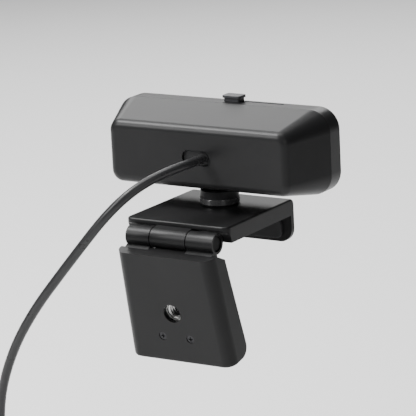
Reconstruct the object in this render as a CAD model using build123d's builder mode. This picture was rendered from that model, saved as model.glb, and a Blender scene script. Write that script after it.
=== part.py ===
"""Clip-on computer camera with a folding monitor clip, a tripod socket in the clip's leg,
a pan and tilt neck, a sliding lens shutter and a captive USB cord.

Millimetres, +Z up. The lens looks along -Y and the cord leaves at the back, +Y.
The origin is on the neck's axis, on the pad face that rests on a monitor's top edge.
"""
from build123d import *
from math import asin, cos, degrees, radians, sin, tan
import os

os.makedirs("parts", exist_ok=True)

# ---------------------------------------------------------------- driving dimensions
head_width = 90.0            # across the front bezel
bezel_low = 11.9             # height of the bezel's lower side
bezel_high = 43.0            # height of the bezel's upper side
bezel_corner = 8.0
front_y = -11.8              # front of the bezel
seam_y = -4.0                # where the straight bezel meets the tapered rear housing
rear_y = 14.7                # rear face of the head
rear_width = 74.2
rear_low = 15.1
rear_high = 37.6
rear_corner = 4.0
rear_edge_radius = 3.2
wall = 1.9

lens_z = 27.5                # optical axis
tilt_z = 15.6                # tilt axis, along X through the neck
neck_radius = 7.1
ring_radius = 7.35

plate_half_width = 21.5
plate_top = 6.4
plate_low = 0.25
plate_rear = 30.5
lip_front = -16.7
lip_thick = 2.5
lip_low = -10.0
skin = 1.8                   # top skin of the clip

hinge_y = 32.1
hinge_z = 0.6
barrel_radius = 3.8
barrel_half = 18.25
arch_radius = 4.45           # hollow in the clip around the hinge barrel
knuckle_low = -6.8           # middle knuckle, from here ...
knuckle_high = 8.0           # ... to here
knuckle_gap = 0.4
pin_radius = 1.5
run_clearance = 0.05         # radial running clearance

leg_lean = 12.7              # degrees the leg leans in at rest
leg_back = 9.47              # rear face, measured out from the hinge axis
leg_top = 2.48               # top face, measured down from the hinge axis
leg_bottom = 45.35
leg_half_top = 20.08
leg_half_bottom = 21.78
leg_cover_thick = 1.6
socket_down = 25.3           # tripod socket, down the leg from the hinge axis
screw_down = 35.0
screw_half_pitch = 5.83

thread_radius = 2.75         # bore of the 1/4 inch tripod insert
insert_radius = 4.4
insert_length = 6.2
insert_mouth = 8.2

shutter_travel = 18.0
shutter_mid_y = -9.1
knob_x = -2.7
knob_y = -8.6

cord_diameter = 3.5
coil_mid_radius = 19.25
coil_section = 14.5
coil_centre = (82.0, 52.0, -116.0)

hinge_axis = (0, hinge_y, hinge_z)
head_mid_z = (bezel_low + bezel_high) / 2
rear_mid_z = (rear_low + rear_high) / 2


def across(y):
    """Plane square to the lens axis at this depth: local x is +X, local y is +Z."""
    return Plane.XZ.offset(-y)


def flat(z):
    """Level plane at this height."""
    return Plane.XY.offset(z)


def finish(piece, label):
    """Name a finished piece and write its file."""
    piece.part.label = label
    export_step(piece.part, f"parts/{label}.step")


# side plane of the leg: local x is out of its rear face, local y is up the leg
lean = radians(leg_lean)
leg_out = Vector(0, cos(lean), -sin(lean))
leg_down = Vector(0, -sin(lean), -cos(lean))
leg_side = Plane(origin=hinge_axis, x_dir=leg_out, z_dir=(1, 0, 0))


def leg_face(out):
    """Plane of the leg's rear face at this distance: local x is +X, local y is down the leg."""
    origin = Vector(*hinge_axis) + leg_out * out
    return Plane(origin=origin, x_dir=(1, 0, 0), z_dir=leg_out)


# ================================================================ head: housings
bezel_height = bezel_high - bezel_low
rear_height = rear_high - rear_low
taper_depth = rear_y - seam_y
opening_half = 7.9           # opening under the head for the neck
opening_front = -9.4
opening_rear = 9.2
boss_spots = [(x, z) for x in (-32.5, 32.5) for z in (19.2, 34.2)]
bracket_screw_x = 11.5
bracket_z = 19.4             # underside of the tilt bracket

with BuildPart() as rear_housing:
    with BuildSketch(across(seam_y)):
        with Locations((0, head_mid_z)):
            RectangleRounded(head_width, bezel_height, bezel_corner)
    with BuildSketch(across(rear_y)):
        with Locations((0, rear_mid_z)):
            RectangleRounded(rear_width, rear_height, rear_corner)
    loft()
    back_face = rear_housing.faces().sort_by(Axis.Y)[-1]
    fillet(back_face.edges(), rear_edge_radius)
    inner_rear = rear_y - wall
    shrink = wall / taper_depth
    with BuildSketch(across(seam_y)):
        with Locations((0, head_mid_z)):
            RectangleRounded(head_width - 2 * wall, bezel_height - 2 * wall, bezel_corner - wall)
    with BuildSketch(across(inner_rear)):
        with Locations((0, rear_mid_z + shrink * (head_mid_z - rear_mid_z))):
            RectangleRounded(
                rear_width + shrink * (head_width - rear_width) - 2.2 * wall,
                rear_height + shrink * (bezel_height - rear_height) - 2.2 * wall,
                rear_corner - 1,
            )
    loft(mode=Mode.SUBTRACT)
    # posts for the four bezel screws
    with BuildSketch(across(inner_rear + 0.4)):
        with Locations(*boss_spots):
            Circle(2.2)
    extrude(amount=inner_rear + 0.4 - seam_y)
    with BuildSketch(across(seam_y)):
        with Locations(*boss_spots):
            Circle(0.8)
    extrude(amount=-8, mode=Mode.SUBTRACT)
    # posts for the two tilt bracket screws
    with BuildSketch(flat(bracket_z)):
        with Locations((-bracket_screw_x, 0), (bracket_screw_x, 0)):
            Circle(2.4)
    extrude(amount=-(bracket_z - 13.6))
    with BuildSketch(flat(bracket_z)):
        with Locations((-bracket_screw_x, 0), (bracket_screw_x, 0)):
            Circle(0.8)
    extrude(amount=-4.5, mode=Mode.SUBTRACT)
    # opening for the neck
    with BuildSketch(flat(10)):
        with Locations((0, (seam_y - 1 + opening_rear) / 2)):
            Rectangle(2 * opening_half, opening_rear - seam_y + 1)
    extrude(amount=7, mode=Mode.SUBTRACT)
    # opening for the cord's grommet
    with BuildSketch(across(rear_y + 1)):
        with Locations((0, rear_mid_z)):
            SlotOverall(12.2, 5.6)
    extrude(amount=6, mode=Mode.SUBTRACT)
finish(rear_housing, "rear_housing")

panel_thick = 1.1
panel_width = head_width - 4.6
panel_height = bezel_height - 4.6
panel_corner = bezel_corner - 2.3
ledge_front = -10.5          # front of the wall behind the panel
ledge_rear = -9.5
slot_front = -9.55
slot_rear = -8.65
slot_low_x = -23.4
light_x = 14.0
light_z = 36.8
mic_x = 36.0
board_post_spots = [(x, z) for x in (-28.0, 28.0) for z in (24.5, 33.0)]
board_front = 3.0

with BuildPart() as front_bezel:
    with BuildSketch(across(seam_y - 0.1)):
        with Locations((0, head_mid_z)):
            RectangleRounded(head_width, bezel_height, bezel_corner)
    extrude(amount=seam_y - 0.1 - front_y)
    fillet(front_bezel.faces().sort_by(Axis.Y)[0].edges(), 1.1)
    with BuildSketch(across(seam_y - 0.1)):
        with Locations((0, head_mid_z)):
            RectangleRounded(head_width - 2 * wall, bezel_height - 2 * wall, bezel_corner - wall)
    extrude(amount=seam_y - 0.1 - ledge_rear, mode=Mode.SUBTRACT)
    with BuildSketch(across(ledge_front)):
        with Locations((0, head_mid_z)):
            RectangleRounded(panel_width, panel_height, panel_corner)
    extrude(amount=3, mode=Mode.SUBTRACT)
    # screw and board posts behind the wall
    with BuildSketch(across(seam_y - 0.1)):
        with Locations(*boss_spots):
            Circle(2.2)
    extrude(amount=seam_y - 0.1 - ledge_rear)
    with BuildSketch(across(board_front)):
        with Locations(*board_post_spots):
            Circle(2.0)
    extrude(amount=board_front - ledge_rear)
    with BuildSketch(across(board_front)):
        with Locations(*board_post_spots):
            Circle(0.8)
    extrude(amount=6, mode=Mode.SUBTRACT)
    # clear holes: screws, light, microphones, lens
    with BuildSketch(across(seam_y)):
        with Locations(*boss_spots):
            Circle(0.95)
        with Locations((light_x, light_z)):
            Circle(0.95)
        with Locations((-mic_x, lens_z), (mic_x, lens_z)):
            Circle(0.7)
        with Locations((0, lens_z)):
            Circle(6.2)
    extrude(amount=8, mode=Mode.SUBTRACT)
    with BuildSketch(across(-9.9)):
        with Locations(*boss_spots):
            Circle(1.8)
    extrude(amount=2, mode=Mode.SUBTRACT)
    # opening for the neck and slot for the shutter's tab
    with BuildSketch(flat(10)):
        with Locations((0, (opening_front + seam_y) / 2)):
            Rectangle(2 * opening_half, seam_y - opening_front + 0.4)
    extrude(amount=7, mode=Mode.SUBTRACT)
    with BuildSketch(flat(bezel_high + 1)):
        with Locations(((slot_low_x + 0.1) / 2, (slot_front + slot_rear) / 2)):
            Rectangle(0.1 - slot_low_x, slot_rear - slot_front)
    extrude(amount=-4, mode=Mode.SUBTRACT)
finish(front_bezel, "front_bezel")

with BuildPart() as front_panel:
    with BuildSketch(across(ledge_front - 0.05)):
        with Locations((0, head_mid_z)):
            RectangleRounded(panel_width - 0.2, panel_height - 0.2, panel_corner - 0.1)
        with Locations((0, lens_z)):
            Circle(9.0, mode=Mode.SUBTRACT)
        with Locations((light_x, light_z)):
            Circle(0.95, mode=Mode.SUBTRACT)
        with Locations((-mic_x, lens_z), (mic_x, lens_z)):
            Circle(0.6, mode=Mode.SUBTRACT)
    extrude(amount=panel_thick)
    chamfer(front_panel.faces().sort_by(Axis.Y)[0].outer_wire().edges(), 0.2)
finish(front_panel, "front_panel")

with BuildPart() as lens_window:
    with BuildSketch(across(ledge_front - 0.05)):
        with Locations((0, lens_z)):
            Circle(8.95)
    extrude(amount=panel_thick - 0.1)
finish(lens_window, "lens_window")

with BuildPart() as bezel_screws:
    with BuildSketch(across(-9.9 - 0.02)):
        with Locations(*boss_spots):
            Circle(1.6)
    extrude(amount=0.54)
    with BuildSketch(across(-9.9 - 0.02)):
        with Locations(*boss_spots):
            Circle(0.78)
    extrude(amount=-11)
    with BuildSketch(across(-10.46)):
        for spot in boss_spots:
            with Locations(spot):
                Rectangle(1.7, 0.4)
                Rectangle(0.4, 1.7)
    extrude(amount=-0.4, mode=Mode.SUBTRACT)
finish(bezel_screws, "bezel_screws")

# ================================================================ head: lens and board
barrel_front = -7.5

with BuildPart() as lens_barrel:
    with BuildSketch(across(-3.9)):
        with Locations((0, lens_z)):
            Circle(5.8)
    extrude(amount=-3.9 - barrel_front)
    with BuildSketch(across(0.8)):
        with Locations((0, lens_z)):
            Circle(4.4)
    extrude(amount=0.8 + 3.9)
    with BuildSketch(across(barrel_front)):
        with Locations((0, lens_z)):
            Circle(5.0)
    extrude(amount=-1.6, taper=25, mode=Mode.SUBTRACT)
    with BuildSketch(across(1.0)):
        with Locations((0, lens_z)):
            Circle(3.55)
    extrude(amount=9, mode=Mode.SUBTRACT)
finish(lens_barrel, "lens_barrel")

lens_radius = 3.5
front_curve = (lens_radius ** 2 + 1.3 ** 2) / (2 * 1.3)      # dome 1.3 high
front_turn = degrees(asin(lens_radius / front_curve))
rear_curve = (lens_radius ** 2 + 0.7 ** 2) / (2 * 0.7)       # dome 0.7 high
rear_turn = degrees(asin(lens_radius / rear_curve))

with BuildPart() as front_lens:
    with BuildSketch(Plane.YZ):
        with BuildLine():
            Polyline((-7.1, lens_z), (-4.6, lens_z), (-4.6, lens_z + 3.5), (-5.8, lens_z + 3.5))
            CenterArc((-7.1 + front_curve, lens_z), front_curve, 180, -front_turn)
        make_face()
    revolve(axis=Axis((0, 0, lens_z), (0, 1, 0)))
finish(front_lens, "front_lens")

with BuildPart() as rear_lens:
    with BuildSketch(Plane.YZ):
        with BuildLine():
            Polyline((0.1, lens_z), (-2.6, lens_z), (-2.6, lens_z + 3.5), (-0.6, lens_z + 3.5))
            CenterArc((0.1 - rear_curve, lens_z), rear_curve, 0, rear_turn)
        make_face()
    revolve(axis=Axis((0, 0, lens_z), (0, 1, 0)))
finish(rear_lens, "rear_lens")

with BuildPart() as lens_holder:
    with BuildSketch(across(board_front - 0.02)):
        with Locations((0, lens_z)):
            RectangleRounded(12.6, 12.6, 1.0)
    extrude(amount=4.4)
    with BuildSketch(across(board_front - 4.4)):
        with Locations((0, lens_z)):
            Circle(5.9)
    extrude(amount=2.3)
    with BuildSketch(across(board_front)):
        with Locations((0, lens_z)):
            Circle(4.45)
    extrude(amount=8, mode=Mode.SUBTRACT)
    with BuildSketch(across(board_front)):
        with Locations((0, lens_z)):
            Rectangle(9.0, 9.0)
    extrude(amount=2.1, mode=Mode.SUBTRACT)
    with BuildSketch(across(board_front - 0.02)):
        with Locations((-8.0, lens_z), (8.0, lens_z)):
            RectangleRounded(4.4, 4.4, 1.0)
    extrude(amount=1.4)
    with BuildSketch(across(board_front)):
        with Locations((-8.2, lens_z), (8.2, lens_z)):
            Circle(0.75)
    extrude(amount=2, mode=Mode.SUBTRACT)
finish(lens_holder, "lens_holder")

with BuildPart() as infrared_filter:
    with BuildSketch(across(1.3)):
        with Locations((0, lens_z)):
            Rectangle(8.6, 8.6)
    extrude(amount=0.35)
finish(infrared_filter, "infrared_filter")

with BuildPart() as image_sensor:
    with BuildSketch(across(board_front - 0.02)):
        with Locations((0, lens_z)):
            Rectangle(7.6, 6.6)
    extrude(amount=0.9)
finish(image_sensor, "image_sensor")

board_low = 21.8
board_high = 38.1
board_thick = 1.0
board_rear = board_front + board_thick
board_half = 33.0

with BuildPart() as main_board:
    with BuildSketch(across(board_rear)):
        with Locations((0, (board_low + board_high) / 2)):
            RectangleRounded(2 * board_half, board_high - board_low, 1.5)
        with Locations(*board_post_spots):
            Circle(0.95, mode=Mode.SUBTRACT)
        with Locations((-8.2, lens_z), (8.2, lens_z)):
            Circle(0.75, mode=Mode.SUBTRACT)
        # room for the housing's four screw posts
        with Locations(*boss_spots):
            Circle(2.7, mode=Mode.SUBTRACT)
    extrude(amount=board_thick - 0.02)
finish(main_board, "main_board")

with BuildPart() as board_screws:
    with BuildSketch(across(board_rear + 0.02)):
        with Locations(*board_post_spots):
            Circle(1.6)
    extrude(amount=-0.9)
    with BuildSketch(across(board_rear + 0.02)):
        with Locations(*board_post_spots):
            Circle(0.78)
    extrude(amount=6)
finish(board_screws, "board_screws")

with BuildPart() as holder_screws:
    with BuildSketch(across(board_rear + 0.02)):
        with Locations((-8.2, lens_z), (8.2, lens_z)):
            Circle(1.3)
    extrude(amount=-0.7)
    with BuildSketch(across(board_rear + 0.02)):
        with Locations((-8.2, lens_z), (8.2, lens_z)):
            Circle(0.72)
    extrude(amount=2.2)
finish(holder_screws, "holder_screws")

with BuildPart() as image_processor:
    with BuildSketch(across(board_rear + 0.02)):
        with Locations((17.5, 30.0)):
            Rectangle(8.0, 8.0)
    extrude(amount=-0.9)
finish(image_processor, "image_processor")

with BuildPart() as board_parts:
    # memory chip and crystal
    with BuildSketch(across(board_rear + 0.02)):
        with Locations((24.6, 26.0)):
            Rectangle(3.0, 4.0)
        with Locations((17.5, 24.2)):
            Rectangle(3.2, 2.0)
    extrude(amount=-0.8)
    # rows of capacitors and resistors
    with BuildSketch(across(board_rear + 0.02)):
        with Locations((11.0, 35.6)):
            with GridLocations(2.4, 2.6, 4, 2):
                Rectangle(1.0, 0.5)
        with Locations((-21.0, 35.4)):
            with GridLocations(2.2, 2.4, 5, 2):
                Rectangle(1.0, 0.5)
    extrude(amount=-0.5)
finish(board_parts, "board_parts")

connector_x = -17.5
connector_z = 26.4

with BuildPart() as cord_connector:
    with BuildSketch(across(board_rear + 0.02)):
        with Locations((connector_x, connector_z)):
            RectangleRounded(4.4, 8.0, 0.4)
    extrude(amount=-3.6)
    with BuildSketch(across(board_rear + 3.7)):
        with Locations((connector_x, connector_z)):
            Rectangle(3.0, 6.6)
    extrude(amount=2.4, mode=Mode.SUBTRACT)
finish(cord_connector, "cord_connector")

with BuildPart() as status_light:
    with BuildSketch(across(board_front - 0.02)):
        with Locations((light_x, light_z)):
            Rectangle(1.6, 0.9)
    extrude(amount=0.7)
finish(status_light, "status_light")

with BuildPart() as light_pipe:
    with BuildSketch(across(board_front - 0.9)):
        with Locations((light_x, light_z)):
            Circle(0.9)
    extrude(amount=board_front - 0.9 + 11.6)
    fillet(light_pipe.faces().sort_by(Axis.Y)[0].edges(), 0.2)
finish(light_pipe, "light_pipe")

with BuildPart() as microphone_boards:
    with BuildSketch(across(-7.3)):
        with Locations((-mic_x, lens_z), (mic_x, lens_z)):
            RectangleRounded(8.0, 6.0, 0.6)
    extrude(amount=0.7)
    with BuildSketch(across(-7)):
        with Locations((-mic_x, lens_z), (mic_x, lens_z)):
            Circle(0.5)
    extrude(amount=2, mode=Mode.SUBTRACT)
finish(microphone_boards, "microphone_boards")

with BuildPart() as microphones:
    with BuildSketch(across(-7.28)):
        with Locations((-mic_x, lens_z), (mic_x, lens_z)):
            Rectangle(3.6, 2.8)
    extrude(amount=-1.0)
finish(microphones, "microphones")

with BuildPart() as microphone_gaskets:
    with BuildSketch(across(-8.02)):
        with Locations((-mic_x, lens_z), (mic_x, lens_z)):
            Circle(2.2)
            Circle(0.8, mode=Mode.SUBTRACT)
    extrude(amount=9.48 - 8.02)
finish(microphone_gaskets, "microphone_gaskets")

# ================================================================ head: shutter
plate_z_low = 21.6
plate_z_high = 34.4
guide_rear = -7.9
guide_face = -8.75
guide_half = 25.6
tab_width = 5.0

with BuildPart() as shutter_guide:
    with BuildSketch(across(guide_rear)):
        with Locations((0, 27.9)):
            RectangleRounded(2 * guide_half, 15.6, 1.0)
        with Locations((0, lens_z)):
            Circle(6.3, mode=Mode.SUBTRACT)
    extrude(amount=guide_rear - guide_face)
    with BuildSketch(across(guide_face)):
        with Locations((0, (20.1 + plate_z_low - 0.1) / 2)):
            Rectangle(2 * guide_half, plate_z_low - 0.1 - 20.1)
        with Locations((guide_half / 2 + 0.5, (35.7 + plate_z_high + 0.1) / 2)):
            Rectangle(guide_half - 1.0, 35.7 - plate_z_high - 0.1)
    extrude(amount=0.7)
finish(shutter_guide, "shutter_guide")

with BuildPart() as shutter_plate:
    with BuildSketch(across(shutter_mid_y + 0.28)):
        with Locations((8.7, (plate_z_low + plate_z_high) / 2)):
            RectangleRounded(32.0, plate_z_high - plate_z_low, 1.0)
        with Locations((knob_x, (plate_z_high + bezel_high) / 2)):
            Rectangle(tab_width, bezel_high + 1.0 - plate_z_high + 1.0)
        with Locations((0, lens_z)):
            Circle(5.4, mode=Mode.SUBTRACT)
    extrude(amount=0.56)
finish(shutter_plate, "shutter_plate")

with BuildPart() as shutter_knob:
    with BuildSketch(flat(bezel_high + 0.1)):
        with Locations((knob_x, knob_y)):
            RectangleRounded(6.6, 4.2, 0.7)
    extrude(amount=1.1)
    with BuildSketch(flat(bezel_high + 1.2)):
        with Locations((knob_x, knob_y)):
            RectangleRounded(6.1, 3.8, 0.5)
    extrude(amount=0.25)
    with BuildSketch(flat(bezel_high + 1.45)):
        with Locations((knob_x, knob_y)):
            RectangleRounded(7.8, 4.8, 0.9)
    extrude(amount=0.95)
    fillet(shutter_knob.faces().sort_by(Axis.Z)[-1].edges(), 0.3)
    with BuildSketch(flat(bezel_high)):
        with Locations((knob_x, shutter_mid_y)):
            Rectangle(tab_width, 0.56)
    extrude(amount=1.0, mode=Mode.SUBTRACT)
finish(shutter_knob, "shutter_knob")

# ================================================================ head: cord exit
exit_x = -2.5
exit_z = 26.4
grommet_face = 13.8

with BuildPart() as cord_grommet:
    with BuildSketch(across(grommet_face)):
        with Locations((0, rear_mid_z)):
            SlotOverall(12.0, 5.4)
    extrude(amount=3.4)
    with BuildSketch(across(12.7)):
        with Locations((0, rear_mid_z)):
            SlotOverall(15.0, 8.4)
    extrude(amount=1.9)
    with BuildSketch(across(grommet_face)):
        with Locations((exit_x, exit_z)):
            Circle(2.1)
    extrude(amount=-0.5)
finish(cord_grommet, "cord_grommet")

lead_rows = [-1.5, -0.5, 0.5, 1.5]

with BuildPart() as cord_leads:
    for row in lead_rows:
        start = Vector(exit_x, 10.3, exit_z + 0.9 * row)
        end = Vector(connector_x, board_rear + 1.4, connector_z + 1.5 * row)
        with BuildLine() as lead:
            FilletPolyline(
                start, start + Vector(0, -2.0, 0), end + Vector(2.0, 3.4, 0),
                end + Vector(0, 2.6, 0), end, radius=0.8,
            )
        with BuildSketch(Plane(origin=lead.wire() @ 0, z_dir=lead.wire() % 0)):
            Circle(0.32)
        sweep(path=lead.wire())
finish(cord_leads, "cord_leads")

# ================================================================ tilt joint
ear_half_gap = 4.55
ear_thick = 2.0
ear_radius = 3.0
knuckle_half = 3.9
tilt_pin_radius = 1.4

with BuildPart() as tilt_bracket:
    with BuildSketch(flat(bracket_z + 0.02)):
        RectangleRounded(28.6, 7.4, 1.5)
        with Locations((-bracket_screw_x, 0), (bracket_screw_x, 0)):
            Circle(1.0, mode=Mode.SUBTRACT)
    extrude(amount=1.3)
    for side in (-1, 1):
        with BuildSketch(Plane.YZ.offset(side * (ear_half_gap + ear_thick / 2))):
            with Locations((0, tilt_z)):
                Circle(ear_radius)
            with Locations((0, (tilt_z + bracket_z + 0.3) / 2)):
                Rectangle(2 * ear_radius, bracket_z + 0.3 - tilt_z)
            with Locations((0, tilt_z)):
                Circle(tilt_pin_radius, mode=Mode.SUBTRACT)
        extrude(amount=ear_thick / 2, both=True)
finish(tilt_bracket, "tilt_bracket")

with BuildPart() as bracket_screws:
    with BuildSketch(flat(bracket_z + 1.34)):
        with Locations((-bracket_screw_x, 0), (bracket_screw_x, 0)):
            Circle(1.7)
    extrude(amount=1.0)
    with BuildSketch(flat(bracket_z + 1.34)):
        with Locations((-bracket_screw_x, 0), (bracket_screw_x, 0)):
            Circle(0.78)
    extrude(amount=-5)
finish(bracket_screws, "bracket_screws")

with BuildPart() as tilt_pin:
    with BuildSketch(Plane.YZ.offset(-7.2)):
        with Locations((0, tilt_z)):
            Circle(tilt_pin_radius)
    extrude(amount=14.4)
    with BuildSketch(Plane.YZ.offset(-7.4)):
        with Locations((0, tilt_z)):
            Circle(2.1)
    extrude(amount=0.8)
finish(tilt_pin, "tilt_pin")

with BuildPart() as tilt_washers:
    for side in (-1, 1):
        with BuildSketch(Plane.YZ.offset(side * (ear_half_gap + knuckle_half) / 2)):
            with Locations((0, tilt_z)):
                Circle(2.8)
                Circle(tilt_pin_radius + run_clearance, mode=Mode.SUBTRACT)
        extrude(amount=0.27, both=True)
finish(tilt_washers, "tilt_washers")

# ================================================================ neck
seat_top = plate_top + 0.5
ring_low = seat_top + 0.02
ring_high = 9.2
post_top = 12.35
journal_radius = 4.0

with BuildPart() as neck_post:
    with BuildSketch(flat(ring_high + 0.02)):
        Circle(neck_radius)
    extrude(amount=post_top - ring_high - 0.02)
    chamfer(neck_post.faces().sort_by(Axis.Z)[-1].edges(), 0.4)
    with BuildSketch(flat(ring_high + 0.02)):
        Circle(journal_radius)
    extrude(amount=-(ring_high + 0.02 - 4.62))
    with BuildSketch(Plane.YZ):
        with Locations((0, (post_top - 0.5 + tilt_z) / 2)):
            Rectangle(6.6, tilt_z - post_top + 0.5)
        with Locations((0, tilt_z)):
            Circle(3.3)
    extrude(amount=knuckle_half, both=True)
    with BuildSketch(Plane.YZ):
        with Locations((0, tilt_z)):
            Circle(tilt_pin_radius + run_clearance)
    extrude(amount=5, both=True, mode=Mode.SUBTRACT)
    with BuildSketch(flat(4)):
        Circle(1.2)
    extrude(amount=7, mode=Mode.SUBTRACT)
finish(neck_post, "neck_post")

with BuildPart() as neck_ring:
    with BuildSketch(flat(ring_low)):
        Circle(ring_radius)
        Circle(journal_radius + 0.02, mode=Mode.SUBTRACT)
    extrude(amount=ring_high - ring_low)
    outer = neck_ring.edges().filter_by(GeomType.CIRCLE).group_by(SortBy.RADIUS)[-1]
    fillet(outer, 0.35)
finish(neck_ring, "neck_ring")

with BuildPart() as swivel_washer:
    with BuildSketch(flat(4.02)):
        Circle(6.2)
        Circle(1.3, mode=Mode.SUBTRACT)
    extrude(amount=0.55)
finish(swivel_washer, "swivel_washer")

with BuildPart() as swivel_screw:
    with BuildSketch(flat(2.9)):
        Circle(2.4)
    extrude(amount=1.08)
    with BuildSketch(flat(3.9)):
        Circle(1.18)
    extrude(amount=6.6)
    with BuildSketch(flat(2.9)):
        Rectangle(2.6, 0.5)
        Rectangle(0.5, 2.6)
    extrude(amount=0.6, mode=Mode.SUBTRACT)
finish(swivel_screw, "swivel_screw")

# ================================================================ clip
arch_y = hinge_y - (arch_radius ** 2 - (hinge_z - plate_low) ** 2) ** 0.5
arch_z = hinge_z + (arch_radius ** 2 - (hinge_y - plate_rear) ** 2) ** 0.5
arch_mid = (
    hinge_y - arch_radius * cos(radians(35)),
    hinge_z + arch_radius * sin(radians(35)),
)
cavity_half = 19.2
cavity_front = -11.6
cavity_rear = 24.4
clip_screw_spots = [(x, y) for x in (-15.5, 15.5) for y in (-7.5, 20.5)]

with BuildPart() as clip_shell:
    with BuildSketch(Plane.YZ):
        with BuildLine():
            Polyline(
                (plate_rear, arch_z),
                (plate_rear, plate_top),
                (lip_front, plate_top),
                (lip_front, lip_low),
                (lip_front + lip_thick, lip_low),
                (lip_front + lip_thick, plate_low),
                (arch_y, plate_low),
            )
            ThreePointArc((arch_y, plate_low), arch_mid, (plate_rear, arch_z))
        make_face()
    extrude(amount=plate_half_width, both=True)
    # rounded corners: lip, front edge, rear corners, then soft top edges
    upright = clip_shell.edges().filter_by(Axis.Y)
    fillet(upright.group_by(Axis.Z)[0], 5.0)
    front_top = clip_shell.edges().filter_by(Axis.X).group_by(Axis.Y)[0].sort_by(Axis.Z)[-1]
    fillet(front_top, 2.4)
    rear_corners = clip_shell.edges().filter_by(Axis.Z).group_by(Axis.Y)[-1]
    fillet(rear_corners, 2.6)
    fillet(clip_shell.faces().sort_by(Axis.Z)[-1].edges(), 0.7)
    # hollow under the top skin
    with BuildSketch(flat(plate_top - skin)):
        with Locations((0, (cavity_front + cavity_rear) / 2)):
            RectangleRounded(2 * cavity_half, cavity_rear - cavity_front, 2.0)
    extrude(amount=-8, mode=Mode.SUBTRACT)
    with BuildSketch(flat(plate_top - skin)):
        with Locations(*clip_screw_spots):
            Circle(2.2)
    extrude(amount=-2.0)
    with BuildSketch(flat(plate_top - skin - 2.0)):
        with Locations(*clip_screw_spots):
            Circle(0.8)
    extrude(amount=2.8, mode=Mode.SUBTRACT)
    # seat and hole for the neck
    with BuildSketch(flat(plate_top - 0.1)):
        Circle(6.5)
    extrude(amount=seat_top - plate_top + 0.1)
    with BuildSketch(flat(0)):
        Circle(journal_radius + run_clearance)
    extrude(amount=8, mode=Mode.SUBTRACT)
    # middle hinge knuckle
    knuckle_plane = Plane.YZ.offset(knuckle_low)
    with BuildSketch(knuckle_plane):
        with Locations((hinge_y, hinge_z)):
            Circle(barrel_radius)
        Polygon(
            (arch_y - 1.0, plate_low), (arch_y - 1.0, 4.4), (plate_rear - 1.0, plate_top - 0.6),
            (plate_rear, arch_z), (hinge_y, hinge_z + barrel_radius), (hinge_y, hinge_z - 2.0),
            (hinge_y - 3.0, plate_low), align=None,
        )
    extrude(amount=knuckle_high - knuckle_low)
    with BuildSketch(knuckle_plane):
        with Locations((hinge_y, hinge_z)):
            Circle(pin_radius + run_clearance)
    extrude(amount=knuckle_high - knuckle_low, mode=Mode.SUBTRACT)
finish(clip_shell, "clip_shell")

pad_low = 0.0
cover_top = 2.5

with BuildPart() as clip_cover:
    with BuildSketch(flat(plate_low)):
        with Locations((0, (cavity_front + cavity_rear) / 2)):
            RectangleRounded(2 * cavity_half - 0.3, cavity_rear - cavity_front - 0.3, 1.8)
    extrude(amount=cover_top - plate_low)
    with BuildSketch(flat(pad_low)):
        with Locations((0, 6.4)):
            RectangleRounded(32.2, 31.2, 2.0)
    extrude(amount=1.0, mode=Mode.SUBTRACT)
    with Locations(Plane(origin=(0, 0, 1.0), x_dir=(1, 0, 0), z_dir=(0, 0, -1))):
        with Locations(*[(x, -y) for x, y in clip_screw_spots]):
            CounterSinkHole(radius=1.0, counter_sink_radius=1.9)
finish(clip_cover, "clip_cover")

with BuildPart() as cover_screws:
    with BuildSketch(flat(1.06)):
        with Locations(*clip_screw_spots):
            Circle(1.8)
    extrude(amount=0.9, taper=42)
    with BuildSketch(flat(1.2)):
        with Locations(*clip_screw_spots):
            Circle(0.78)
    extrude(amount=3.9)
finish(cover_screws, "cover_screws")

with BuildPart() as plate_pad:
    with BuildSketch(flat(pad_low)):
        with Locations((0, 6.4)):
            RectangleRounded(32.0, 31.0, 1.9)
    extrude(amount=0.98)
finish(plate_pad, "plate_pad")

lip_inner = lip_front + lip_thick

with BuildPart() as lip_pad:
    with BuildSketch(across(lip_inner + 0.82)):
        with Locations((0, -4.9)):
            RectangleRounded(35.0, 7.6, 2.5)
    extrude(amount=0.8)
    fillet(lip_pad.faces().sort_by(Axis.Y)[-1].edges(), 0.25)
finish(lip_pad, "lip_pad")

# ================================================================ leg
inner_top = (-0.9, -6.5)
inner_bottom = (-3.1, -leg_bottom)
inner_slope = (inner_bottom[0] - inner_top[0]) / (inner_bottom[1] - inner_top[1])


def leg_inner(down):
    """How far out from the hinge axis the leg's inner face lies, this far down."""
    return inner_top[0] + inner_slope * (-down - inner_top[1])


def leg_trapezoid(inset, top, bottom):
    """Corners of the leg's outline seen square on, pulled in by a margin."""
    flare = (leg_half_bottom - leg_half_top) / (leg_bottom - leg_top)
    half_a = leg_half_top + flare * (top - leg_top) - inset
    half_b = leg_half_top + flare * (bottom - leg_top) - inset
    return [(-half_a, top), (half_a, top), (half_b, bottom), (-half_b, bottom)]


outer_knuckles = [(knuckle_high + knuckle_gap, barrel_half), (-barrel_half, knuckle_low - knuckle_gap)]
cavity_top = 9.0
cavity_bottom = 42.6

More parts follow.
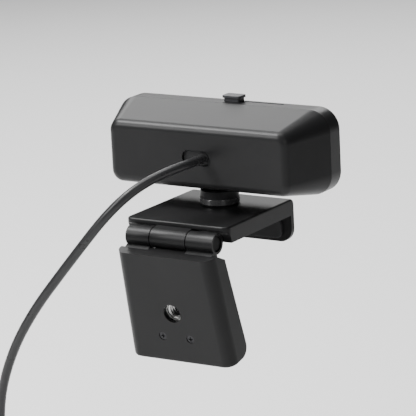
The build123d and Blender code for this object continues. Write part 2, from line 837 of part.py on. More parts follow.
with BuildPart() as leg_shell:
    with BuildSketch(leg_side) as leg_profile:
        with BuildLine():
            Polyline(
                (leg_back, -leg_top), (4.6, -leg_top), inner_top, inner_bottom,
                (leg_back, -leg_bottom), close=True,
            )
        make_face()
        low_corners = leg_profile.vertices().sort_by(Axis.Y)[:2]
        fillet(low_corners.sort_by(Axis.X)[0], 4.5)
    extrude(amount=30, both=True)
    with BuildSketch(leg_face(0)):
        Polygon(*leg_trapezoid(0, leg_top - 1, leg_bottom + 1), align=None)
    extrude(amount=40, both=True, mode=Mode.INTERSECT)
    rear = leg_shell.faces().filter_by(lambda f: f.normal_at().dot(leg_out) > 0.999)[0]
    rear_sides = rear.edges().filter_by(lambda e: abs((e % 0.5).dot(leg_down)) > 0.9)
    fillet(rear_sides, 4.3)
    base = leg_shell.faces().filter_by(lambda f: f.normal_at().dot(leg_down) > 0.999)[0]
    fillet(base.edges().filter_by(lambda e: (e @ 0.5 - Vector(*hinge_axis)).dot(leg_out) > 4.5), 1.1)
    # hollow behind the rear wall, open to the inner side
    with BuildSketch(leg_face(leg_back - 2.0)):
        Polygon(*leg_trapezoid(2.4, cavity_top, cavity_bottom), align=None)
    extrude(amount=-20, mode=Mode.SUBTRACT)
    # posts for the tripod insert and the two screws
    with BuildSketch(leg_face(leg_back - 1.9)):
        with Locations((0, socket_down)):
            Circle(6.2)
    extrude(amount=-6.2)
    with BuildSketch(leg_face(leg_back - 1.9)):
        with Locations((-screw_half_pitch, screw_down), (screw_half_pitch, screw_down)):
            Circle(2.5)
    extrude(amount=-4.4)
    with BuildSketch(leg_face(insert_mouth)):
        with Locations((0, socket_down)):
            Circle(insert_radius)
    extrude(amount=-9, mode=Mode.SUBTRACT)
    with BuildSketch(leg_face(leg_back + 1)):
        with Locations((0, socket_down)):
            Circle(3.55)
    extrude(amount=-3, mode=Mode.SUBTRACT)
    with BuildSketch(leg_face(leg_back + 1)):
        with Locations((-screw_half_pitch, screw_down), (screw_half_pitch, screw_down)):
            Circle(1.6)
    extrude(amount=-2.0, mode=Mode.SUBTRACT)
    with BuildSketch(leg_face(leg_back)):
        with Locations((-screw_half_pitch, screw_down), (screw_half_pitch, screw_down)):
            Circle(0.95)
    extrude(amount=-8, mode=Mode.SUBTRACT)
    # outer hinge knuckles, with room for the middle one
    for low, high in outer_knuckles:
        with BuildSketch(leg_side.offset(low)):
            Circle(barrel_radius)
            Polygon((1.3, -3.3), (1.3, -5.6), (6.0, -4.0), (5.2, -leg_top), (3.2, -1.9), align=None)
        extrude(amount=high - low)
    # saddle under the middle knuckle, so the hinge shows no gap, then its running room
    with BuildSketch(leg_side.offset(knuckle_low - knuckle_gap)):
        Polygon(
            (4.6, -leg_top), (6.0, -4.0), (1.6, -6.6), inner_top, (-0.3, -3.9),
            (3.3, -leg_top), align=None,
        )
    extrude(amount=knuckle_high - knuckle_low + 2 * knuckle_gap)
    with BuildSketch(leg_side.offset(knuckle_low - knuckle_gap)):
        Circle(barrel_radius + 0.35)
    extrude(amount=knuckle_high - knuckle_low + 2 * knuckle_gap, mode=Mode.SUBTRACT)
    with BuildSketch(leg_side.offset(-barrel_half - 1)):
        Circle(pin_radius)
    extrude(amount=2 * barrel_half + 2, mode=Mode.SUBTRACT)
    for end in (-1, 1):
        with BuildSketch(leg_side.offset(end * (barrel_half - 1.1))):
            Circle(2.9)
        extrude(amount=end * 3, mode=Mode.SUBTRACT)
finish(leg_shell, "leg_shell")

with BuildPart() as leg_cover:
    with BuildSketch(leg_side):
        Polygon(
            (leg_inner(cavity_top), -cavity_top), (leg_inner(cavity_bottom), -cavity_bottom),
            (leg_inner(cavity_bottom) + leg_cover_thick, -cavity_bottom),
            (leg_inner(cavity_top) + leg_cover_thick, -cavity_top), align=None,
        )
    extrude(amount=30, both=True)
    with BuildSketch(leg_face(0)):
        Polygon(*leg_trapezoid(2.55, cavity_top + 0.12, cavity_bottom - 0.12), align=None)
    extrude(amount=20, both=True, mode=Mode.INTERSECT)
    with BuildSketch(leg_face(leg_inner(screw_down) + 1.0)):
        with Locations((-screw_half_pitch, screw_down), (screw_half_pitch, screw_down)):
            Circle(2.4)
    extrude(amount=leg_back - 1.9 - 4.4 - 0.05 - leg_inner(screw_down) - 1.0)
    with BuildSketch(leg_face(leg_back)):
        with Locations((-screw_half_pitch, screw_down), (screw_half_pitch, screw_down)):
            Circle(0.8)
    extrude(amount=-(leg_back - leg_inner(screw_down) - 0.9), mode=Mode.SUBTRACT)
finish(leg_cover, "leg_cover")

with BuildPart() as leg_pad:
    with BuildSketch(leg_side):
        Polygon(
            (leg_inner(12) - 0.02, -12), (leg_inner(39) - 0.02, -39),
            (leg_inner(39) - 0.92, -39), (leg_inner(12) - 0.92, -12), align=None,
        )
    extrude(amount=15.5, both=True)
finish(leg_pad, "leg_pad")

with BuildPart() as tripod_insert:
    with BuildSketch(leg_face(insert_mouth - 0.02)):
        with Locations((0, socket_down)):
            Circle(insert_radius - 0.02)
            Circle(thread_radius, mode=Mode.SUBTRACT)
    extrude(amount=-insert_length)
finish(tripod_insert, "tripod_insert")

with BuildPart() as leg_screws:
    with BuildSketch(leg_face(leg_back - 0.98)):
        with Locations((-screw_half_pitch, screw_down), (screw_half_pitch, screw_down)):
            Circle(1.52)
    extrude(amount=0.75)
    with BuildSketch(leg_face(leg_back - 0.98)):
        with Locations((-screw_half_pitch, screw_down), (screw_half_pitch, screw_down)):
            Circle(0.78)
    extrude(amount=-8.4)
    with BuildSketch(leg_face(leg_back)):
        for x in (-screw_half_pitch, screw_half_pitch):
            with Locations((x, screw_down)):
                Rectangle(1.7, 0.42)
                Rectangle(0.42, 1.7)
    extrude(amount=-0.7, mode=Mode.SUBTRACT)
finish(leg_screws, "leg_screws")

with BuildPart() as hinge_pin:
    with BuildSketch(leg_side.offset(-(barrel_half - 1.1))):
        Circle(pin_radius)
    extrude(amount=2 * (barrel_half - 1.1))
    # a flattened head at each end, just clear of the bottom of its recess
    for end in (-1, 1):
        with BuildSketch(leg_side.offset(end * (barrel_half - 1.1))):
            Circle(pin_radius)
        extrude(amount=end * 0.62)
        with BuildSketch(leg_side.offset(end * (barrel_half - 1.08))):
            Circle(2.4)
        extrude(amount=end * 0.6)
finish(hinge_pin, "hinge_pin")

# ================================================================ cord
coil_x, coil_y, coil_z = coil_centre
cord_points = [
    (exit_x, grommet_face + 0.5, exit_z),
    (exit_x, 20.8, exit_z),
    (-0.7, 28.7, 26.0),
    (3.8, 35.9, 23.9),
    (8.1, 42.0, 20.8),
    (12.7, 46.6, 16.3),
    (18.8, 49.5, 9.6),
    (26.5, 51.0, 0.4),
    (36.5, 52.1, -11.4),
    (48.1, 52.5, -25.0),
    (58.3, 52.6, -40.0),
    (65.5, 52.6, -56.7),
    (69.4, 51.8, -73.4),
    (71.0, coil_y, -84.5),
    (75.2, coil_y, coil_z + coil_mid_radius + 2.5),
]


def route_radii(points):
    """Largest tangent arc that each corner of a route has room for."""
    corners = [Vector(*p) for p in points]
    radii = []
    for before, here, after in zip(corners, corners[1:], corners[2:]):
        first, second = here - before, after - here
        turn = radians(first.get_angle(second))
        radii.append(0.45 * min(first.length, second.length) / tan(turn / 2))
    return radii


def route_tube(points):
    """Round tube along a route of straight runs joined by tangent arcs."""
    with BuildPart() as tube:
        with BuildLine() as route:
            FilletPolyline(*points, radius=route_radii(points))
        with BuildSketch(Plane(origin=route.wire() @ 0, z_dir=route.wire() % 0)):
            Circle(cord_diameter / 2)
        sweep(path=route.wire())
    return tube


cord = route_tube(cord_points)
finish(cord, "cord")

with BuildPart() as cord_coil:
    with BuildSketch(Plane(origin=coil_centre, x_dir=(1, 0, 0), z_dir=(0, 0, 1))):
        with Locations((coil_mid_radius, 0)):
            RectangleRounded(coil_section, coil_section, 5.0)
    revolve(axis=Axis(coil_centre, (0, 1, 0)))
finish(cord_coil, "cord_coil")

tie_inner = coil_section / 2 + 0.1
tie_thick = 1.2
tie_arc = 27.0

with BuildPart() as cord_tie:
    tie_start = (cos(radians(76)), 0, sin(radians(76)))
    with BuildSketch(Plane(origin=coil_centre, x_dir=tie_start, z_dir=(tie_start[2], 0, -tie_start[0]))):
        with Locations((coil_mid_radius, 0)):
            RectangleRounded(2 * (tie_inner + tie_thick), 2 * (tie_inner + tie_thick), 6.2)
            RectangleRounded(2 * tie_inner, 2 * tie_inner, 5.0, mode=Mode.SUBTRACT)
    revolve(axis=Axis(coil_centre, (0, 1, 0)), revolution_arc=tie_arc)
finish(cord_tie, "cord_tie")

plug_x = coil_x + coil_mid_radius + 11.0
plug_top = coil_z - 12.0
tail_points = [
    (coil_x + coil_mid_radius + 3.0, coil_y, coil_z + 8.0),
    (coil_x + coil_mid_radius + 9.0, coil_y, coil_z + 1.5),
    (plug_x, coil_y, plug_top + 7.0),
    (plug_x, coil_y, plug_top),
]
cord_tail = route_tube(tail_points)
finish(cord_tail, "cord_tail")

neck_length = 9.0
plug_length = 21.0
plug_low = plug_top - neck_length - plug_length
shell_length = 18.8

with BuildPart() as plug_body:
    with BuildSketch(flat(plug_top)):
        with Locations((plug_x, coil_y)):
            Circle(2.5)
    with BuildSketch(flat(plug_top - neck_length)):
        with Locations((plug_x, coil_y)):
            RectangleRounded(9.0, 6.4, 2.6)
    loft()
    with BuildSketch(flat(plug_low)):
        with Locations((plug_x, coil_y)):
            RectangleRounded(15.6, 7.8, 2.4)
    extrude(amount=plug_length)
    fillet(plug_body.faces().sort_by(Axis.Z)[0].edges(), 0.6)
finish(plug_body, "plug_body")

with BuildPart() as plug_shell:
    with BuildSketch(flat(plug_low - shell_length)):
        with Locations((plug_x, coil_y)):
            RectangleRounded(12.0, 4.5, 0.5)
            RectangleRounded(11.4, 3.9, 0.3, mode=Mode.SUBTRACT)
    extrude(amount=shell_length - 0.02)
    with BuildSketch(Plane.XZ.offset(-coil_y - 5)):
        with Locations((plug_x - 3.0, plug_low - 7.0), (plug_x + 3.0, plug_low - 7.0)):
            Rectangle(2.3, 2.3)
    extrude(amount=10, mode=Mode.SUBTRACT)
finish(plug_shell, "plug_shell")

with BuildPart() as plug_tongue:
    with BuildSketch(flat(plug_low - shell_length + 0.4)):
        with Locations((plug_x, coil_y - 0.95)):
            Rectangle(10.9, 1.8)
    extrude(amount=shell_length - 0.42)
finish(plug_tongue, "plug_tongue")

with BuildPart() as plug_contacts:
    with BuildSketch(Plane.XZ.offset(-coil_y - 0.12)):
        with Locations((plug_x, plug_low - shell_length + 6.0)):
            with GridLocations(2.3, 1.0, 4, 1):
                Rectangle(1.0, 8.0)
    extrude(amount=0.1)
finish(plug_contacts, "plug_contacts")
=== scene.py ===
"""A clip-on computer camera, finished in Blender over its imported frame.

Metres, +Z up. The lens looks along -Y. The hinge, the leg and the cord are on the +Y side.
"""
from math import cos, pi, radians, sin

import bpy
import bmesh
from mathutils import Matrix, Vector


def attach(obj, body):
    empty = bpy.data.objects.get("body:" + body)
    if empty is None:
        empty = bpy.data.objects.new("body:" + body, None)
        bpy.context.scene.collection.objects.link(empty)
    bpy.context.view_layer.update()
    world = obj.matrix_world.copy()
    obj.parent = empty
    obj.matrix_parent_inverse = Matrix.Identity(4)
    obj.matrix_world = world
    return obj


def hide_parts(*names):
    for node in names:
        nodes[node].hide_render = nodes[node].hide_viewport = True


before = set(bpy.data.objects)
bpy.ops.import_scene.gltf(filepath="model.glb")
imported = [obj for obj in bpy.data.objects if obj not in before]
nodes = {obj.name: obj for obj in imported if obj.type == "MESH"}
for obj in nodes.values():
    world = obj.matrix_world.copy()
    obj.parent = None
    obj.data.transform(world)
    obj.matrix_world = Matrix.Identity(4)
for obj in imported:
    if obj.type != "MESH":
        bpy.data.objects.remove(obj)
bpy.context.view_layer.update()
bpy.ops.object.select_all(action="DESELECT")

MM = 0.001


# ---------------------------------------------------------------- handling pieces
def take(piece):
    """Make this the only selected object."""
    bpy.ops.object.select_all(action="DESELECT")
    piece.select_set(True)
    bpy.context.view_layer.objects.active = piece


def added(name):
    """Name the primitive that was just added."""
    piece = bpy.context.object
    piece.name = name
    piece.data.name = name
    return piece


def settle(piece):
    """Put the object's place into its mesh, so the object itself is unturned at the origin."""
    take(piece)
    bpy.ops.object.transform_apply(location=True, rotation=True, scale=True)


def finish_with(piece, kind, **settings):
    """Add one modifier and apply it."""
    take(piece)
    modifier = piece.modifiers.new(kind.title(), kind)
    for setting, value in settings.items():
        setattr(modifier, setting, value)
    bpy.ops.object.modifier_apply(modifier=modifier.name)


def pick_faces(piece, wanted):
    """In edit mode, select only the faces that the test accepts."""
    take(piece)
    bpy.ops.object.mode_set(mode="EDIT")
    bpy.ops.mesh.select_mode(type="FACE")
    mesh = bmesh.from_edit_mesh(piece.data)
    for face in mesh.faces:
        face.select_set(wanted(face))
    mesh.select_flush_mode()
    bmesh.update_edit_mesh(piece.data)


def pick_edges(piece, wanted):
    """In edit mode, select only the edges that the test accepts."""
    take(piece)
    bpy.ops.object.mode_set(mode="EDIT")
    bpy.ops.mesh.select_mode(type="EDGE")
    mesh = bmesh.from_edit_mesh(piece.data)
    for edge in mesh.edges:
        edge.select_set(wanted(edge))
    mesh.select_flush_mode()
    bmesh.update_edit_mesh(piece.data)


def leave_edit():
    bpy.ops.object.mode_set(mode="OBJECT")


def outward(piece):
    """Merge doubles and turn every face outwards."""
    take(piece)
    bpy.ops.object.mode_set(mode="EDIT")
    bpy.ops.mesh.select_all(action="SELECT")
    bpy.ops.mesh.remove_doubles(threshold=0.00001)
    bpy.ops.mesh.normals_make_consistent(inside=False)
    leave_edit()


def smooth(piece, angle=35):
    take(piece)
    bpy.ops.object.shade_smooth_by_angle(angle=radians(angle))


def ride(piece, body, slot, finish, *stands_for):
    """Hand a finished piece to its moving body, with its finish."""
    piece.data.materials.clear()
    piece.data.materials.append(finish)
    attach(piece, body)
    if stands_for:
        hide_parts(*stands_for)
    return piece


# ---------------------------------------------------------------- camera
def place_camera(turn=32.57, rise=13.92, roll=2.80, distance=0.95828, lens=226.7):
    """Camera behind and above the head, turned round to the cord's side."""
    turn, rise, roll = radians(turn), radians(rise), radians(roll)
    back = Vector((-sin(turn) * cos(rise), cos(turn) * cos(rise), sin(rise)))
    level = Vector((-cos(turn), -sin(turn), 0))
    upright = Vector((sin(rise) * sin(turn), -sin(rise) * cos(turn), cos(rise)))
    right = level * cos(roll) - upright * sin(roll)
    up = level * sin(roll) + upright * cos(roll)
    place = Vector((0, 0, 0.0064)) - 0.00456 * level - 0.0016 * upright + distance * back
    data = bpy.data.cameras.new("camera")
    data.lens = lens
    data.sensor_width = 36
    data.clip_start = 0.05
    data.clip_end = 20
    camera = bpy.data.objects.new("camera", data)
    bpy.context.collection.objects.link(camera)
    turned = Matrix((right, up, back)).transposed().to_4x4()
    turned.translation = place
    camera.matrix_world = turned
    bpy.context.scene.camera = camera


place_camera()


# ---------------------------------------------------------------- finishes
class Finish:
    """A material being mixed: a shader, and a few nodes that feed it."""

    def __init__(self, name, colour, roughness, **shader):
        self.material = bpy.data.materials.new(name)
        self.material.use_nodes = True
        self.tree = self.material.node_tree
        self.shader = self.tree.nodes["Principled BSDF"]
        self.shader.inputs["Base Color"].default_value = (*colour, 1)
        self.shader.inputs["Roughness"].default_value = roughness
        for socket, value in shader.items():
            self.shader.inputs[socket.replace("_", " ")].default_value = value
        self.place = self.tree.nodes.new("ShaderNodeTexCoord").outputs["Object"]
        self.relief = None

    def stretch(self, scale):
        mapping = self.tree.nodes.new("ShaderNodeMapping")
        mapping.inputs["Scale"].default_value = scale
        self.tree.links.new(self.place, mapping.inputs["Vector"])
        return mapping.outputs["Vector"]

    def noise(self, scale, detail=2.0, rough=0.5, place=None):
        texture = self.tree.nodes.new("ShaderNodeTexNoise")
        texture.inputs["Scale"].default_value = scale
        texture.inputs["Detail"].default_value = detail
        texture.inputs["Roughness"].default_value = rough
        self.tree.links.new(place or self.place, texture.inputs["Vector"])
        return texture.outputs["Fac"]

    def cells(self, scale):
        texture = self.tree.nodes.new("ShaderNodeTexVoronoi")
        texture.inputs["Scale"].default_value = scale
        self.tree.links.new(self.place, texture.inputs["Vector"])
        return texture.outputs["Distance"]

    def between(self, value, low, high):
        """Map a 0 to 1 value onto a range."""
        spread = self.tree.nodes.new("ShaderNodeMapRange")
        spread.inputs["From Min"].default_value = 0.3
        spread.inputs["From Max"].default_value = 0.7
        spread.inputs["To Min"].default_value = low
        spread.inputs["To Max"].default_value = high
        self.tree.links.new(value, spread.inputs["Value"])
        return spread.outputs["Result"]

    def shade(self, value, dark, light):
        """Let the colour drift between two shades."""
        ramp = self.tree.nodes.new("ShaderNodeValToRGB")
        ramp.color_ramp.elements[0].position = 0.3
        ramp.color_ramp.elements[1].position = 0.7
        ramp.color_ramp.elements[0].color = (*dark, 1)
        ramp.color_ramp.elements[1].color = (*light, 1)
        self.tree.links.new(value, ramp.inputs["Fac"])
        self.tree.links.new(ramp.outputs["Color"], self.shader.inputs["Base Color"])

    def polish(self, value, low, high):
        self.tree.links.new(self.between(value, low, high), self.shader.inputs["Roughness"])

    def raise_by(self, value, height, strength=1.0):
        bump = self.tree.nodes.new("ShaderNodeBump")
        bump.inputs["Distance"].default_value = height
        bump.inputs["Strength"].default_value = strength
        self.tree.links.new(value, bump.inputs["Height"])
        if self.relief:
            self.tree.links.new(self.relief, bump.inputs["Normal"])
        self.relief = bump.outputs["Normal"]
        self.tree.links.new(self.relief, self.shader.inputs["Normal"])


def moulded(name, dark, light, rough, grain=2600, height=0.00003, shine=0.2):
    """Moulded plastic: a fine spark-eroded grain, drifting colour and handling sheen."""
    finish = Finish(name, light, rough, Specular_IOR_Level=shine)
    finish.shade(finish.noise(45, 3), dark, light)
    finish.polish(finish.noise(900, 3, 0.6), rough - 0.01, rough + 0.01)
    finish.raise_by(finish.noise(grain, 2, 0.6), height, 0.07)
    return finish.material


def polished(name, colour, rough, coat=0.6):
    """Gloss moulding with the slightest unevenness."""
    finish = Finish(name, colour, rough, Coat_Weight=coat, Coat_Roughness=0.06)
    finish.polish(finish.noise(300, 3), rough * 0.7, rough * 1.4)
    finish.raise_by(finish.noise(90, 1), 0.00002, 0.08)
    return finish.material


def plated(name, colour, rough, lines=(900, 900, 120), wear=0.75):
    """Plated steel with fine tool lines and small dull patches."""
    finish = Finish(name, colour, rough, Metallic=1.0)
    finish.shade(finish.noise(220, 3), tuple(wear * part for part in colour), colour)
    finish.polish(finish.noise(1.0, 3, 0.6, finish.stretch(lines)), rough * 0.7, rough * 1.5)
    finish.raise_by(finish.noise(1.0, 2, 0.6, finish.stretch(lines)), 0.00001, 0.25)
    return finish.material


def soft_rubber(name, dark, light, rough=0.72, grain=1500):
    finish = Finish(name, light, rough, Specular_IOR_Level=0.3)
    finish.shade(finish.noise(70, 3), dark, light)
    finish.polish(finish.noise(160, 3), rough - 0.06, rough + 0.06)
    finish.raise_by(finish.noise(grain, 3, 0.6), 0.00005, 0.4)
    return finish.material


def clear_glass(name, colour, rough=0.03, share=0.85, coat=0.5):
    finish = Finish(name, colour, rough, Transmission_Weight=share, IOR=1.5, Coat_Weight=coat)
    finish.polish(finish.noise(120, 2), rough * 0.6, rough * 1.5)
    return finish.material


def solder_mask(name):
    finish = Finish(name, (0.01, 0.10, 0.035), 0.35, Coat_Weight=0.3)
    finish.shade(finish.cells(420), (0.006, 0.07, 0.022), (0.014, 0.13, 0.045))
    finish.raise_by(finish.cells(420), 0.00003, 0.4)
    return finish.material


def woven_strap(name):
    """Hook and loop strap: a felt of tiny loops."""
    finish = Finish(name, (0.02, 0.02, 0.021), 0.95, Sheen_Weight=0.5, Sheen_Roughness=0.4)
    finish.shade(finish.noise(1400, 3, 0.7), (0.008, 0.008, 0.009), (0.035, 0.035, 0.037))
    finish.raise_by(finish.noise(1900, 3, 0.7), 0.0002, 0.8)
    finish.raise_by(finish.cells(1300), 0.00015, 0.5)
    return finish.material


charcoal = moulded("charcoal_moulding", (0.0125, 0.0125, 0.013), (0.0155, 0.0155, 0.016), 0.37)
clip_charcoal = moulded("clip_moulding", (0.0075, 0.0075, 0.0079), (0.0095, 0.0095, 0.0099), 0.42)
neck_charcoal = moulded("neck_moulding", (0.020, 0.020, 0.021), (0.040, 0.040, 0.042), 0.40, 1400, 0.00006)
slider_charcoal = moulded("slider_moulding", (0.040, 0.041, 0.044), (0.055, 0.056, 0.060), 0.40)
gloss_black = polished("gloss_front", (0.010, 0.010, 0.012), 0.12)
gloss_ring = polished("gloss_ring", (0.07, 0.07, 0.072), 0.24, 1.0)
lens_black = moulded("dull_black", (0.006, 0.006, 0.006), (0.014, 0.014, 0.015), 0.70)
shutter_colour = moulded("shutter_red", (0.36, 0.035, 0.02), (0.46, 0.05, 0.03), 0.55)
nylon = moulded("plain_nylon", (0.62, 0.61, 0.57), (0.74, 0.73, 0.69), 0.45)
washer_nylon = moulded("washer_nylon", (0.50, 0.50, 0.48), (0.62, 0.62, 0.60), 0.40)
dark_steel = plated("dark_steel", (0.16, 0.16, 0.17), 0.36)
black_steel = plated("black_steel", (0.042, 0.042, 0.044), 0.30)
steel = plated("screw_steel", (0.46, 0.46, 0.47), 0.32)
bright_steel = plated("bright_steel", (0.52, 0.52, 0.51), 0.30, (300, 300, 300), 0.92)
gold = plated("contact_gold", (0.86, 0.62, 0.24), 0.22)
pad_rubber = soft_rubber("pad_rubber", (0.012, 0.012, 0.013), (0.022, 0.022, 0.023))
jacket = soft_rubber("cord_jacket", (0.020, 0.020, 0.021), (0.028, 0.028, 0.029), 0.32, 900)
plug_rubber = soft_rubber("plug_moulding", (0.022, 0.022, 0.024), (0.032, 0.032, 0.034), 0.52)
coated_glass = clear_glass("coated_glass", (0.52, 0.44, 0.72))
window_glass = clear_glass("window_glass", (0.20, 0.20, 0.23))
filter_glass = clear_glass("filter_glass", (0.62, 0.34, 0.60))
green_board = solder_mask("green_board")
chip_black = moulded("chip_black", (0.012, 0.012, 0.013), (0.022, 0.022, 0.024), 0.50)
felt = woven_strap("strap_felt")
clear_plastic = polished("clear_plastic", (0.80, 0.82, 0.85), 0.15)

kept_finishes = {
    "rear_housing": charcoal, "front_bezel": charcoal, "shutter_knob": slider_charcoal,
    "clip_shell": clip_charcoal, "clip_cover": clip_charcoal, "leg_shell": clip_charcoal,
    "leg_cover": clip_charcoal, "neck_post": neck_charcoal, "neck_ring": gloss_ring,
    "front_panel": gloss_black, "lens_window": window_glass, "front_lens": coated_glass,
    "rear_lens": coated_glass, "infrared_filter": filter_glass, "lens_barrel": lens_black,
    "lens_holder": lens_black, "shutter_guide": lens_black, "shutter_plate": shutter_colour,
    "main_board": green_board, "microphone_boards": green_board, "image_processor": chip_black,
    "board_parts": chip_black, "image_sensor": chip_black, "cord_connector": nylon,
    "bezel_screws": steel, "board_screws": steel, "holder_screws": steel,
    "bracket_screws": steel, "cover_screws": steel, "swivel_screw": steel,
    "tilt_pin": dark_steel, "tilt_bracket": dark_steel, "hinge_pin": lens_black,
    "leg_screws": black_steel, "microphones": bright_steel, "plug_shell": bright_steel,
    "plug_tongue": nylon, "plug_contacts": gold, "tilt_washers": washer_nylon,
    "swivel_washer": washer_nylon, "plate_pad": pad_rubber, "lip_pad": pad_rubber,
    "leg_pad": pad_rubber, "microphone_gaskets": pad_rubber, "cord_grommet": pad_rubber,
    "cord_leads": jacket, "status_light": clear_plastic, "light_pipe": clear_plastic,
}
for name, finish in kept_finishes.items():
    nodes[name].data.materials.clear()
    nodes[name].data.materials.append(finish)


# ---------------------------------------------------------------- cord
CORD_THICK = 3.5
COIL_CENTRE = (82.0, 52.0, -116.0)
INNER_TURN = 14.55
OUTER_TURN = 25.05
ROW_STEP = 3.56
TURN_STEP = 3.56

hanging_run = [
    (-2.5, 14.3, 26.4), (-2.5, 20.8, 26.4), (-0.7, 28.7, 26.0), (3.8, 35.9, 23.9),
    (8.1, 42.0, 20.8), (12.7, 46.6, 16.3), (18.8, 49.5, 9.6), (26.5, 51.0, 0.4),
    (36.5, 52.1, -11.4), (48.1, 52.5, -25.0), (58.3, 52.6, -40.0), (65.5, 52.6, -56.7),
    (69.2, 50.6, -72.0), (70.3, 48.4, -80.5), (72.4, 46.9, -86.6), (76.8, 46.66, -90.5),
]
tail_run = [
    (107.8, 56.5, -109.0), (110.8, 54.6, -114.6), (112.25, 52.6, -120.6),
    (112.25, 52.0, -125.6), (112.25, 52.0, -129.5),
]


COIL_ROWS = 4
LAST_HOLD = 0.16


def coil_turns(start=82.0, per_turn=16, hold=0.40):
    """Points of the wound cord: four flat spirals side by side, in and out by turns."""
    spread = OUTER_TURN - INNER_TURN
    spiral = spread / TURN_STEP
    stages = []
    for row in range(COIL_ROWS):
        inward = row % 2 == 0
        stages.append((spiral, row, row, inward))
        if row < COIL_ROWS - 1:
            stages.append((hold, row, row + 1, None))
    stages.append((LAST_HOLD, COIL_ROWS - 1, COIL_ROWS - 1, None))
    points, turned, radius = [], 0.0, OUTER_TURN
    step = 1.0 / per_turn
    carried = 0.0
    for length, row_from, row_to, inward in stages:
        start_radius = radius
        if inward is None:
            end_radius = radius
        else:
            end_radius = INNER_TURN if inward else OUTER_TURN
        along = carried
        while along < length:
            share = along / length
            here = start_radius + (end_radius - start_radius) * share
            ease = share * share * (3 - 2 * share)
            row = row_from + (row_to - row_from) * ease
            angle = radians(start - 360 * (turned + along))
            points.append((
                COIL_CENTRE[0] + here * cos(angle),
                COIL_CENTRE[1] + (row - (COIL_ROWS - 1) / 2) * ROW_STEP,
                COIL_CENTRE[2] + here * sin(angle),
            ))
            along += step
        carried = along - length
        turned += length
        radius = end_radius
    return points


cord_points = hanging_run + coil_turns() + tail_run
curve = bpy.data.curves.new("usb_cord", "CURVE")
curve.dimensions = "3D"
curve.bevel_depth = CORD_THICK / 2 * MM
curve.bevel_resolution = 3
curve.resolution_u = 4
curve.use_fill_caps = True
spline = curve.splines.new("NURBS")
spline.points.add(len(cord_points) - 1)
for point, place in zip(spline.points, cord_points):
    point.co = (place[0] * MM, place[1] * MM, place[2] * MM, 1)
spline.order_u = 3
spline.use_endpoint_u = True
usb_cord = bpy.data.objects.new("usb_cord", curve)
bpy.context.collection.objects.link(usb_cord)
ride(usb_cord, "head", "jacket", jacket, "cord", "cord_coil", "cord_tail")


STRAP_WIDE, STRAP_CORNER, STRAP_THICK = 15.0, 4.6, 0.9
STRAP_BEGINS, STRAP_SPANS = radians(74), radians(23)


def wrap_strap():
    """Hook and loop strap closed round the coil near its top."""
    centre = Vector(COIL_CENTRE) * MM
    middle = (INNER_TURN + OUTER_TURN) / 2 * MM
    bpy.ops.mesh.primitive_plane_add(
        size=STRAP_WIDE * MM, location=(centre.x + middle, centre.y, centre.z))
    strap = added("cord_strap")
    take(strap)
    bpy.ops.object.mode_set(mode="EDIT")
    bpy.ops.mesh.select_all(action="SELECT")
    bpy.ops.mesh.bevel(offset=STRAP_CORNER * MM, segments=6, affect="VERTICES")
    bpy.ops.mesh.select_all(action="SELECT")
    bpy.ops.mesh.delete(type="ONLY_FACE")
    bpy.ops.mesh.select_all(action="SELECT")
    bpy.ops.mesh.spin(steps=14, angle=STRAP_SPANS, center=centre, axis=(0, 1, 0))
    leave_edit()
    settle(strap)
    # carry the band from the side up to its place near the top
    raised = Matrix.Rotation(-STRAP_BEGINS, 4, "Y")
    turn = Matrix.Translation(centre) @ raised @ Matrix.Translation(-centre)
    strap.data.transform(turn)
    outward(strap)
    finish_with(strap, "SOLIDIFY", thickness=STRAP_THICK * MM, offset=1.0)
    finish_with(strap, "BEVEL", width=0.2 * MM, segments=2, limit_method="ANGLE")
    smooth(strap, 50)
    return ride(strap, "head", "tie", felt, "cord_tie")


strap = wrap_strap()


# ---------------------------------------------------------------- plug
PLUG_X, PLUG_Y = 112.25, 52.0
PLUG_WIDE, PLUG_THICK = 15.6, 7.8
NECK_LOW, PLUG_LOW = -137.0, -158.0
NECK_RINGS = 3


def raise_neck(height, *narrowing):
    """Draw the picked face up, then narrow it about the plug's own axis when asked to."""
    bpy.ops.mesh.extrude_region_move(TRANSFORM_OT_translate={"value": (0, 0, height * MM)})
    if narrowing:
        axis_point = (PLUG_X * MM, PLUG_Y * MM, NECK_LOW * MM)
        bpy.ops.transform.resize(value=(*narrowing, 1), center_override=axis_point)


def mould_plug():
    """Moulded grip whose neck is a stack of flexing rings."""
    middle = Vector((PLUG_X, PLUG_Y, (NECK_LOW + PLUG_LOW) / 2)) * MM
    bpy.ops.mesh.primitive_cube_add(size=1.0, location=middle, scale=(
        PLUG_WIDE * MM, PLUG_THICK * MM, (NECK_LOW - PLUG_LOW) * MM))
    plug = added("plug_grip")
    settle(plug)
    top = NECK_LOW * MM
    pick_faces(plug, lambda face: face.normal.z > 0.9)
    bpy.ops.mesh.inset(thickness=1.2 * MM)
    raise_neck(2.0, 0.62, 0.86)
    for ring in range(NECK_RINGS):
        raise_neck(1.1)
        raise_neck(0.1, 0.80, 0.90)
        raise_neck(0.8, 1.10, 1.06)
    leave_edit()
    pick_edges(plug, lambda edge: abs((edge.verts[0].co - edge.verts[1].co).normalized().z) > 0.9
               and edge.verts[0].co.z < top + 0.1 * MM)
    bpy.ops.mesh.bevel(offset=2.2 * MM, segments=5)
    leave_edit()
    finish_with(plug, "BEVEL", width=0.25 * MM, segments=2, limit_method="ANGLE", angle_limit=radians(30))
    outward(plug)
    smooth(plug, 40)
    return ride(plug, "head", "plug_plastic", plug_rubber, "plug_body")


plug_grip = mould_plug()


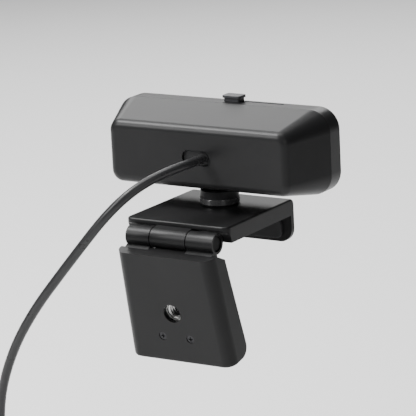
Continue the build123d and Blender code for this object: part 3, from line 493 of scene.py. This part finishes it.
# ---------------------------------------------------------------- tripod insert
LEAN = radians(12.7)
LEG_OUT = Vector((0, cos(LEAN), -sin(LEAN)))
LEG_DOWN = Vector((0, -sin(LEAN), -cos(LEAN)))
HINGE = Vector((0, 32.1, 0.6)) * MM
FLANGE_RADIUS, BORE_RADIUS, SLEEVE_LONG = 4.36, 3.22, 5.6
SLEEVE_OUT, SLEEVE_DOWN = 7.56, 25.3
THREAD_PITCH = 1.27
THREAD_TURNS = 3.6
THREAD_START = -5.14
STEPS_A_RIDGE = 260
# the ridge's section: radius from the bore's middle, and height, with its root buried in the sleeve
RIDGE_SECTION = [(3.30, -0.44), (2.66, -0.09), (3.30, 0.44), (2.66, 0.09)]


def on_leg(out, down):
    """A point on the leg's middle line, in metres."""
    return HINGE + LEG_OUT * out * MM + LEG_DOWN * down * MM


def lean_with_leg(piece, out, down):
    """Turn a piece made upright at the origin so its +Z looks out of the leg's rear face."""
    turn = Vector((0, 0, 1)).rotation_difference(LEG_OUT).to_matrix().to_4x4()
    turn.translation = on_leg(out, down)
    piece.data.transform(turn)
    piece.data.update()


def cut_insert():
    """Threaded insert: a flanged steel sleeve with a real quarter inch thread wound up its bore."""
    bpy.ops.mesh.primitive_circle_add(vertices=72, radius=FLANGE_RADIUS * MM, fill_type="NOTHING")
    sleeve = added("thread_insert")
    take(sleeve)
    bpy.ops.object.mode_set(mode="EDIT")
    bpy.ops.mesh.select_all(action="SELECT")
    bpy.ops.mesh.extrude_edges_move(TRANSFORM_OT_translate={"value": (0, 0, 0)})
    bore_share = BORE_RADIUS / FLANGE_RADIUS
    bpy.ops.transform.resize(value=(bore_share, bore_share, 1))
    bpy.ops.mesh.select_all(action="SELECT")
    bpy.ops.mesh.extrude_region_move(TRANSFORM_OT_translate={"value": (0, 0, -SLEEVE_LONG * MM)})
    leave_edit()
    outward(sleeve)
    finish_with(sleeve, "BEVEL", width=0.16 * MM, segments=2, limit_method="ANGLE")
    # one thread ridge, wound up the inside, with its two ends closed
    bpy.ops.mesh.primitive_plane_add(size=1.0)
    ridge = added("thread_ridge")
    take(ridge)
    for vertex, corner in zip(ridge.data.vertices, RIDGE_SECTION):
        vertex.co = (corner[0] * MM, 0, corner[1] * MM)
    finish_with(ridge, "SCREW", axis="Z", angle=THREAD_TURNS * 2 * pi,
                screw_offset=THREAD_TURNS * THREAD_PITCH * MM, iterations=1, steps=STEPS_A_RIDGE,
                render_steps=STEPS_A_RIDGE, use_merge_vertices=False, use_normal_calculate=True)
    ridge.data.transform(Matrix.Translation((0, 0, THREAD_START * MM)))
    take(ridge)
    bpy.ops.object.mode_set(mode="EDIT")
    bpy.ops.mesh.select_all(action="SELECT")
    bpy.ops.mesh.fill_holes(sides=4)
    leave_edit()
    outward(ridge)
    bpy.ops.object.select_all(action="DESELECT")
    ridge.select_set(True)
    sleeve.select_set(True)
    bpy.context.view_layer.objects.active = sleeve
    bpy.ops.object.join()
    lean_with_leg(sleeve, SLEEVE_OUT, SLEEVE_DOWN)
    smooth(sleeve, 40)
    return ride(sleeve, "leg", "bright_steel", bright_steel, "tripod_insert")


cut_insert()


# ---------------------------------------------------------------- studio
FLOOR_HEIGHT = -0.1785
FLOOR_WIDE = 8.0
WORLD_GLOW = 0.05


def lay_floor():
    """Matt white paper just below the plug."""
    bpy.ops.mesh.primitive_plane_add(size=FLOOR_WIDE, location=(0, 0, FLOOR_HEIGHT))
    floor = added("floor")
    settle(floor)
    paper = Finish("studio_paper", (0.93, 0.93, 0.93), 0.9)
    floor.data.materials.append(paper.material)


def hang_light(name, place, aim, size, power):
    """A flat soft box, turned to face its aim."""
    data = bpy.data.lights.new(name, "AREA")
    data.shape = "RECTANGLE"
    data.size, data.size_y = size
    data.energy = power
    light = bpy.data.objects.new(name, data)
    bpy.context.collection.objects.link(light)
    light.location = place
    light.rotation_euler = (Vector(aim) - Vector(place)).to_track_quat("-Z", "Y").to_euler()


lay_floor()
hang_light("overhead", (0.3, 0.0, 1.4), (0, 0, 0.02), (1.1, 1.1), 19)
hang_light("edge_strip", (0.62, 0.30, 0.95), (0, 0, 0.02), (0.55, 0.22), 18)
hang_light("front_box", (0.72, -1.15, 0.85), (0, 0, 0.03), (1.3, 0.7), 16)
hang_light("left_box", (0.66, 0.90, 0.62), (0, 0.02, 0.01), (0.36, 0.36), 9)
hang_light("right_box", (-1.10, 0.95, 0.45), (0, 0, 0.02), (0.6, 0.6), 3)
world = bpy.data.worlds.new("studio")
world.use_nodes = True
world.node_tree.nodes["Background"].inputs["Color"].default_value = (1, 1, 1, 1)
world.node_tree.nodes["Background"].inputs["Strength"].default_value = WORLD_GLOW
bpy.context.scene.world = world
